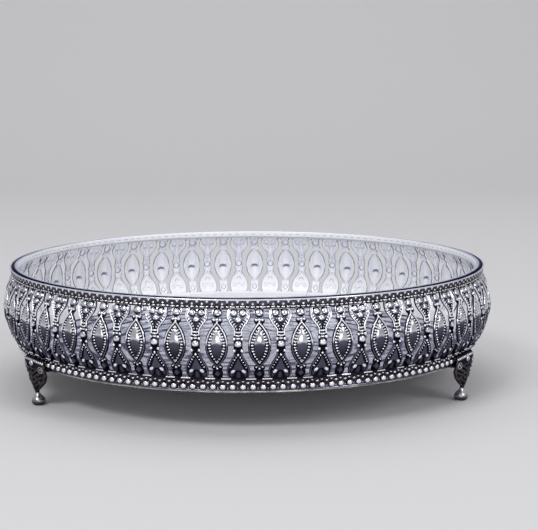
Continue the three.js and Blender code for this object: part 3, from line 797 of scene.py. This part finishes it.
def lip():
    """The rim's channel, turned about the tray's axis, with a dashed line round its skirt."""
    rows = lip_roll(0.45, 0.85, 0.44, 0.42, 0.95, [-80, -50, -20, 10, 40, 65, 90, 115, 140]) + LIP_SLOPE
    rows += lip_roll(4.0, 0.38, 0.95, 0.38, 0.93, [42, 56, 70, 90, 110, 135, 160]) + LIP_SKIRT + LIP_UNDER
    inset, depth, base, slots = np.array(rows[::-1]).T[:, :, None]
    segments = 4 * SHELLS
    angle = np.arange(segments) * TURN / segments
    dash = unit(0.5 + 1.5 * np.sin(angle * SHELLS + np.sin(angle * 9)))
    tone = np.where(base == DASHED, 0.9 - 0.55 * dash, base + 0 * angle)
    skin = Surface()
    grid = closed_round(skin.add(place(LIP_OUTER - inset, angle, RIM_TOP - depth), tone))
    for k, slot in enumerate(slots[:, 0].astype(int)):
        skin.face(quads(grid[[k, (k + 1) % len(grid)]]), slot)
    skin.make("lip_channel", [lip_metal, inside], LIP_SMOOTH_ANGLE, "rim_lip")


lip()


def bead_field(x, height, number):
    """The pressed strip under the wall: large beads, with small ones above and between them."""
    side = np.abs(x)
    level, tone = np.zeros_like(x), np.full_like(x, 0.16)
    lean = 0.12 * np.sin(number * 1.7)
    for at_x, at_z, reach, up, shade in BAND_BEADS:
        off = x - at_x - lean if at_x == 0 else side - at_x
        bead = boss(off, height, 0, at_z, reach, reach, up)
        # Painted light on each bead: brighter towards its crown, with painted shade on its underside.
        rim = unit(2.2 * (bead / up - 0.25))
        under = unit((at_z - 0.3 * reach - height) / reach)
        level, tone = laid(level, tone, bead, 0.2 * up, 0.3 + (shade - 0.3) * rim - 0.55 * under)
    return laid(level, tone, ridge(height - 23.2, 0.28, 0.3), 0.15, 0.5)


hoop_strip("bead_strip", BAND_FACE, BAND_THICKNESS, BAND_LOW, BAND_HIGH, BEADS, BEAD_LINES, BEAD_ROWS,
           bead_field, band_metal, "bead_band")


def floor_sheet():
    """The floor: a polished sheet, a little wavy, with a brassy rolled edge and painted reflections in dark
    streaks.
    """
    skin = Surface()
    flat = np.linspace(HUB, FLOOR_FLAT, FLOOR_RINGS)
    radii = np.concatenate([flat, BASE_RADIUS - np.array([2.1, 0.7, 0.1, 0])])
    angle = np.arange(FLOOR_SIDES) * TURN / FLOOR_SIDES
    radius, around = np.meshgrid(radii, angle, indexing="ij")
    x, y = radius * np.sin(around), -radius * np.cos(around)
    drift = 2.2 * np.sin(3 * around + 0.5) + 1.3 * np.sin(7 * around + radius / 40)
    drift += 0.6 * np.sin(17 * around + radius / 25)
    wave = 0.055 * np.sin(TURN * (radius + drift) / 10.5)
    wave += 0.035 * np.sin(TURN * (radius - drift) / 6.3 + 5 * around)
    wave += 0.03 * np.sin(x / 9.1 - y / 14 + 2.0)
    wave = (wave - 0.13) * unit((WAVES_END - radius) / WAVES_FADE)
    # Painted reflections: dark streaks along the waves, and a sheet darker towards its edge.
    painted_reflection_streak = np.sin(TURN * (radius + 1.6 * drift) / 12.5)
    painted_reflection_streak += 0.6 * np.sin(TURN * (radius - drift) / 7.9 + 3 * around)
    tone = 1.0 - 0.88 * unit(1.1 * painted_reflection_streak + 0.05) * np.clip((radius - 20) / 60, 0.3, 1)
    tone *= 1 - 0.25 * unit((radius - 45) / 50)
    height = BASE_HIGH + wave
    height[-3:] = BASE_HIGH - np.array([0.03, 0.15, 0.5])[:, None]
    top = skin.add(place(radius, around, height), tone)
    under_radii = np.array([BASE_RADIUS - 0.1, BASE_RADIUS - 0.5, 130.0, 60.0, HUB])
    under_height = BASE_LOW + np.array([0.25, 0.05, 0.03, 0.03, 0.03])
    edge = 0.10 * np.sin(angle * 23 + 1.0) + 0.06 * np.sin(angle * 61)
    low = under_height[:, None] + 0 * angle
    low[:2] += np.clip(edge, 0, None)
    under = skin.add(place(under_radii[:, None], angle, low), 0.4)
    grid = closed_round(np.concatenate([top, under]))
    rim = len(radii) - 3
    skin.face(quads(grid[:rim + 1])[:, ::-1])
    skin.face(quads(grid[rim:rim + 6])[:, ::-1], 1)
    skin.face(quads(grid[rim + 5:])[:, ::-1])
    hub = skin.add(np.array([[0, 0, BASE_HIGH - 0.09], [0, 0, BASE_LOW + 0.03]]), 0.6)
    first, last = grid[0], grid[-1]
    skin.face(np.stack([np.full(FLOOR_SIDES, hub[0]), first[:-1], first[1:]], -1))
    skin.face(np.stack([np.full(FLOOR_SIDES, hub[1]), last[1:], last[:-1]], -1))
    skin.make("floor_sheet", [floor_metal, brassy], FLOOR_SMOOTH_ANGLE, "base_plate")


floor_sheet()

# Feet and rivets: x runs outwards, y the way round and z upwards

KNEE_FACE = 147.2
CURL_SIDE, CURL_LEVEL, CURL_REACH = 10.2, 22.6, 2.1
BALL_CENTRE = 143.6
ANKLE_HEIGHT = 7.4
RIVET_LEVEL = 25.1
BALL_ROWS, LEAF_ROWS, FRONT_LINES = 26, 96, 73
RIVET_SIDES, LUG_SIDES = 28, 24
LUG_START, LUG_END = 134.1, 145.3
LUG_LEVEL = 20.3
FOOT_ANGLES = [math.radians(181.3 + 120 * k) for k in range(3)]

# Levels of a foot's ball: height, radius
BALL_LEVELS = [(0.0, 2.1), (0.2, 2.9), (0.7, 3.6), (1.4, 4.02), (2.3, 4.2), (3.2, 4.1), (4.0, 3.7),
               (4.8, 3.05), (5.5, 2.35), (6.1, 1.8), (6.7, 1.45)]
# Levels of its leaf: height, half width, middle of the thickness, half thickness, edge, bow of the sides
LEAF_LEVELS = [
    (7.3, 1.25, 144.3, 1.2, 0.1, 0.0), (8.2, 1.35, 144.4, 1.15, 0.1, 0.1), (9.1, 2.0, 144.6, 1.1, 0.2, 0.3),
    (10.1, 3.4, 144.8, 1.05, 0.3, 0.7), (11.4, 5.3, 145.1, 1.1, 0.35, 1.3),
    (13.2, 7.6, 145.4, 1.15, 0.35, 1.9), (15.2, 9.7, 145.7, 1.2, 0.35, 2.3),
    (17.2, 11.3, 145.9, 1.25, 0.35, 2.3), (19.2, 12.6, 146.0, 1.3, 0.35, 2.0),
    (21.1, 12.9, 146.05, 1.3, 0.35, 1.5), (23.0, 13.0, 146.0, 1.2, 0.35, 1.0),
    (25.1, 13.0, 145.9, 1.1, 0.35, 0.65), (26.6, 12.7, 145.8, 0.95, 0.35, 0.6),
    (27.5, 12.2, 145.6, 0.7, 0.3, 0.55), (28.3, 11.6, 145.2, 0.35, 0.3, 0.5),
]
# Seeds on the right half of the leaf: place across, height, reach
LEAF_SEEDS = ((2.3, 19.6, 0.8), (4.4, 17.2, 0.85), (3.1, 14.3, 0.75), (6.6, 14.8, 0.75), (7.2, 19.4, 0.8))


def ball_painted_shade(z):
    """Painted shade on a foot's ball: darker towards the ground."""
    return 0.46 + 0.46 * unit((z - 1.2) / 3.0)


def foot_place(points, angle):
    """Points of a foot's own axes, carried to its place round the tray."""
    x, y = points[..., 0], points[..., 1]
    return np.stack([x * math.sin(angle) + y * math.cos(angle), y * math.sin(angle) - x * math.cos(angle),
                     points[..., 2]], -1)


def smooth_levels(levels, at):
    """The levels' values at more heights, by a smooth curve through them."""
    table = np.array(levels)
    height, values = table[:, 0], table[:, 1:]
    slope = np.gradient(values, height, axis=0)
    k = np.clip(np.searchsorted(height, at) - 1, 0, len(height) - 2)
    gap = (height[k + 1] - height[k])[:, None]
    part = ((at - height[k]) / gap[:, 0])[:, None]
    rest = 1 - part
    return ((1 + 2 * part) * rest ** 2 * values[k] + part * rest ** 2 * gap * slope[k]
            + part ** 2 * (3 - 2 * part) * values[k + 1] - part ** 2 * rest * gap * slope[k + 1])


def leaf_carving(y, z, half):
    """Relief and tone of the foot's leaf: a spine, veins that rise from it, curls and beads."""
    side = np.abs(y)
    share = side / np.clip(half, 1, None)
    wide = unit((z - 9.5) / 3)
    veins = np.cos(TURN * (z - 0.55 * side + 0.01 * side ** 2) / 2.7)
    level = 0.28 * veins * unit(side / 2) * (1 - share ** 4) * wide
    tone = 0.24 + 0.22 * np.clip(veins, -1, 1) * unit(side / 2)
    spine = ridge(side, 0.9, 0.6) * unit((z - 8) / 3) * unit((22.5 - z) / 3)
    level, tone = laid(level, tone, spine, 0.3, 0.48)
    border = ridge((1 - share) * half - 0.55, 0.5, 0.5) * wide
    level, tone = laid(level, tone, border, 0.25, 0.50)
    panel = (z > 22.3) & (share < 0.95)
    level = np.where(panel, 0.1 * level, level)
    tone = np.where(panel, 0.24, tone)
    hem = ridge(z - 22.4, 0.4, 0.45) * (side < 9.0)
    level, tone = laid(level, tone, hem, 0.2, 0.5)
    for at_y in np.arange(7) * 1.95:
        bead = boss(side, z, at_y, 27.0 - 0.004 * at_y ** 2, 0.86, 0.78, 0.85)
        level, tone = laid(level, tone, bead, 0.3, 0.95)
    for at_y, at_z, reach in LEAF_SEEDS:
        level, tone = laid(level, tone, boss(side, z, at_y, at_z, reach, reach, 0.8), 0.35, 0.56)
    curl = np.hypot(side - CURL_SIDE, z - CURL_LEVEL)
    level = np.where(curl < CURL_REACH, 0.1, level)
    tone = np.where(curl < CURL_REACH, 0.08, tone)
    for reach in (1.75, 0.35):
        level, tone = laid(level, tone, ridge(curl - reach, 0.42, 0.8), 0.35, 0.78)
    return level, tone


def squared(share):
    """A circle's coordinate pushed outwards, which makes a square with rounded corners of it."""
    return np.sign(share) * np.abs(share) ** 0.35


def capped(skin, points, ends, angle, tone, end_tone, flip):
    """Adds a closed tube of rings to the skin, with a fan of faces at each end."""
    ring = closed_round(skin.add(foot_place(points, angle), tone))
    skin.face(quads(ring)[:, ::-1] if flip else quads(ring))
    caps = skin.add(foot_place(np.array(ends), angle), end_tone)
    for cap, one, two in ((caps[0], ring[0, 1:], ring[0, :-1]), (caps[1], ring[-1, :-1], ring[-1, 1:])):
        pair = (two, one) if flip else (one, two)
        skin.face(np.stack([np.full(len(one), cap), *pair], -1))


def lug(skin, angle):
    """The bar with rounded corners that carries a foot under the floor."""
    turn = np.linspace(0, TURN, LUG_SIDES, endpoint=False)
    lug_x = np.array([LUG_START, LUG_START + 0.3, LUG_START + 1.1, LUG_END - 0.4, LUG_END])[:, None]
    lug_size = np.array([0.90, 0.97, 1.0, 1.0, 0.95])[:, None]
    lug_y = 4.5 * lug_size * squared(np.cos(turn))
    lug_z = LUG_LEVEL + 0.8 * lug_size * squared(np.sin(turn))
    ends = [[LUG_START, 0, LUG_LEVEL], [LUG_END, 0, LUG_LEVEL]]
    capped(skin, np.stack([lug_x + 0 * turn, lug_y, lug_z], -1), ends, angle, 0.25, 0.25, True)


def foot(number, angle):
    """A cast foot: a leaf over a ball, with a lug under the floor."""
    skin = Surface()
    ball_at = np.concatenate([[0.0], np.linspace(0.15, BALL_LEVELS[-1][0], BALL_ROWS)])
    ball = smooth_levels(BALL_LEVELS, ball_at)
    leaf_at = np.linspace(LEAF_LEVELS[0][0], LEAF_LEVELS[-1][0], LEAF_ROWS)
    leaf = smooth_levels(LEAF_LEVELS, leaf_at)
    heights = np.concatenate([ball_at, leaf_at])
    half = np.concatenate([ball[:, 0], leaf[:, 0]])
    lean = unit((ball_at - 3.5) / 4.2) ** 1.5
    middle = np.concatenate([BALL_CENTRE + 0.62 * lean, leaf[:, 1]])
    thick = np.concatenate([ball[:, 0], leaf[:, 2]])
    edge = np.concatenate([0 * ball_at, leaf[:, 3]])
    bow = np.concatenate([0 * ball_at, leaf[:, 4]])
    half = half + 0.45 * unit(np.sin((heights - 9) * 1.45)) * ((heights > 9) & (heights < 21))
    even = np.linspace(-1, 1, FRONT_LINES)
    round_front = np.sin(even * math.pi / 2) * 0.35 + even * 0.65
    round_back = round_front[-2:0:-4]
    rows, tones = [], []
    for sides, sign in ((round_front, 1), (round_back, -1)):
        y = half[:, None] * sides
        crown = root(1 - sides ** 2)
        bowed = middle[:, None] - bow[:, None] * sides ** 2
        x = bowed + sign * (thick[:, None] * crown + edge[:, None])
        z = heights[:, None] + 0 * y
        level, tone = leaf_carving(y, z, half[:, None] + 0 * y) if sign > 0 else (0, 0.2)
        on_leaf = z > ANKLE_HEIGHT
        x = x + np.where(on_leaf & (np.abs(sides) < 0.999), level, 0)
        rows.append(np.stack([x, y, z], -1))
        tones.append(np.where(on_leaf, tone, ball_painted_shade(z)))
    ends = [[BALL_CENTRE, 0, 0], [middle[-1], 0, heights[-1]]]
    capped(skin, np.concatenate(rows, 1), ends, angle, np.concatenate(tones, 1), 0.3, False)
    lug(skin, angle)
    skin.make(f"leaf_foot_{number}", [foot_metal], SMOOTH_ANGLE, f"foot_{number}")


def rivet(number, angle):
    """A domed rivet through knee, band and wall, with its tail peened over inside."""
    skin = Surface()
    seat, tail = KNEE_FACE + 0.3, FOOTING - 1.2
    run = [(tail - 0.62, 0.7), (tail - 0.55, 1.2), (tail - 0.35, 1.55), (tail - 0.08, 1.68), (tail, 1.5)]
    run += [(tail, 1.0), (seat, 1.0), (seat, 1.8), (seat + 0.06, 1.97)]
    run += [(seat + 1.38 * math.sin(a), 2.0 * math.cos(a)) for a in np.radians(np.arange(8, 89, 8))]
    x, reach = np.array(run).T[:, :, None]
    turn = np.arange(RIVET_SIDES) * TURN / RIVET_SIDES
    body = np.stack([x + 0 * turn, reach * np.cos(turn), RIVET_LEVEL + reach * np.sin(turn)], -1)
    # Painted light on the rivet's head: lighter on top, darker underneath; its shank is plain.
    tone = np.where(x > seat, 0.62 + 0.3 * np.sin(turn), 0.75 + 0 * turn)
    ends = [[tail - 0.66, 0, RIVET_LEVEL], [seat + 1.4, 0, RIVET_LEVEL]]
    capped(skin, body, ends, angle, tone, 0.8, False)
    skin.make(f"domed_rivet_{number}", [lip_metal], SMOOTH_ANGLE, f"foot_rivet_{number}")


for index, angle in enumerate(FOOT_ANGLES):
    foot(index + 1, angle)
    rivet(index + 1, angle)

# Studio and camera, in metres

STUDIO_FRONT, STUDIO_SIDE, STUDIO_TOP = -3.0, 3.5, 3.0
BEND_START, BEND_RADIUS = 1.2, 0.8


def plain(name, colour):
    """A dull paint with a faint cloud in it."""
    nodes = Nodes(name)
    cloud = nodes.noise(2.0, 2, 0.5)
    mixed = nodes.mix(cloud, colour, [0.985 * c for c in colour])
    return nodes.finish(Base_Color=mixed, Roughness=0.8)


def backdrop():
    """A pale floor that curves up into a backdrop, far behind the tray."""
    run = [(STUDIO_FRONT, 0.0), (BEND_START, 0.0)]
    for turn in np.radians(np.arange(10, 91, 10)):
        run.append((BEND_START + BEND_RADIUS * math.sin(turn), BEND_RADIUS - BEND_RADIUS * math.cos(turn)))
    run.append((BEND_START + BEND_RADIUS, STUDIO_TOP))
    vertices = [(x, y, z) for y, z in run for x in (-STUDIO_SIDE, STUDIO_SIDE)]
    faces = [(2 * k, 2 * k + 1, 2 * k + 3, 2 * k + 2) for k in range(len(run) - 1)]
    mesh = bpy.data.meshes.new("studio_floor")
    mesh.from_pydata(vertices, [], faces)
    mesh.polygons.foreach_set("use_smooth", np.ones(len(faces), dtype=bool))
    mesh.materials.append(plain("studio_pale", (0.64, 0.64, 0.655)))
    sheet = bpy.data.objects.new("studio_floor", mesh)
    bpy.context.scene.collection.objects.link(sheet)


def lamp(name, position, target, size, power):
    """A rectangular lamp turned towards a target."""
    light = bpy.data.lights.new(name, "AREA")
    light.shape = "RECTANGLE"
    light.size, light.size_y = size
    light.energy = power
    holder = bpy.data.objects.new(name, light)
    holder.location = position
    holder.rotation_euler = (Vector(target) - Vector(position)).to_track_quat("-Z", "Y").to_euler()
    bpy.context.scene.collection.objects.link(holder)


backdrop()
lamp("key", (-0.9, -1.3, 1.7), (0, 0, 0.04), (0.9, 0.6), 17)
lamp("fill", (1.3, -1.1, 1.2), (0, 0, 0.04), (0.5, 0.9), 8)
lamp("top", (0.1, 0.5, 1.9), (0, 0, 0.02), (2.4, 1.9), 15)
lamp("front", (0.1, -1.9, 0.35), (0, 0, 0.05), (1.4, 0.4), 5)
world = bpy.data.worlds.new("studio")
world.use_nodes = True
world.node_tree.nodes["Background"].inputs["Color"].default_value = (0.42, 0.42, 0.43, 1)
world.node_tree.nodes["Background"].inputs["Strength"].default_value = 1.0
bpy.context.scene.world = world

PHOTO_WIDTH = 538
FOCAL_PX = 1543.16
SENSOR = 36
EYE_DISTANCE, EYE_TILT, EYE_ROLL = 0.9715, 8.696, -0.1619
AIM_YAW, AIM_PITCH = 0.8012, 0.2941
AIM_HEIGHT = 0.06594


def camera():
    """The photograph's viewpoint, from the fitted camera."""
    tilt = math.radians(EYE_TILT)
    eye = Vector((0, -EYE_DISTANCE * math.cos(tilt), AIM_HEIGHT + EYE_DISTANCE * math.sin(tilt)))
    forward = (Vector((0, 0, AIM_HEIGHT)) - eye).normalized()
    right = Vector((1, 0, 0))
    up = right.cross(forward)
    yaw, pitch = math.tan(math.radians(AIM_YAW)), math.tan(math.radians(AIM_PITCH))
    forward = (forward + yaw * right + pitch * up).normalized()
    right = forward.cross(Vector((0, 0, 1))).normalized()
    up = right.cross(forward)
    roll = math.radians(EYE_ROLL)
    side = math.cos(roll) * right + math.sin(roll) * up
    over = -math.sin(roll) * right + math.cos(roll) * up
    data = bpy.data.cameras.new("camera")
    data.sensor_fit = "HORIZONTAL"
    data.sensor_width = SENSOR
    data.lens = FOCAL_PX / PHOTO_WIDTH * SENSOR
    data.clip_start, data.clip_end = 0.05, 20
    holder = bpy.data.objects.new("camera", data)
    holder.matrix_world = Matrix.Translation(eye) @ Matrix((side, over, -forward)).transposed().to_4x4()
    bpy.context.scene.collection.objects.link(holder)
    bpy.context.scene.camera = holder


camera()
bpy.context.scene.view_settings.view_transform = "Standard"
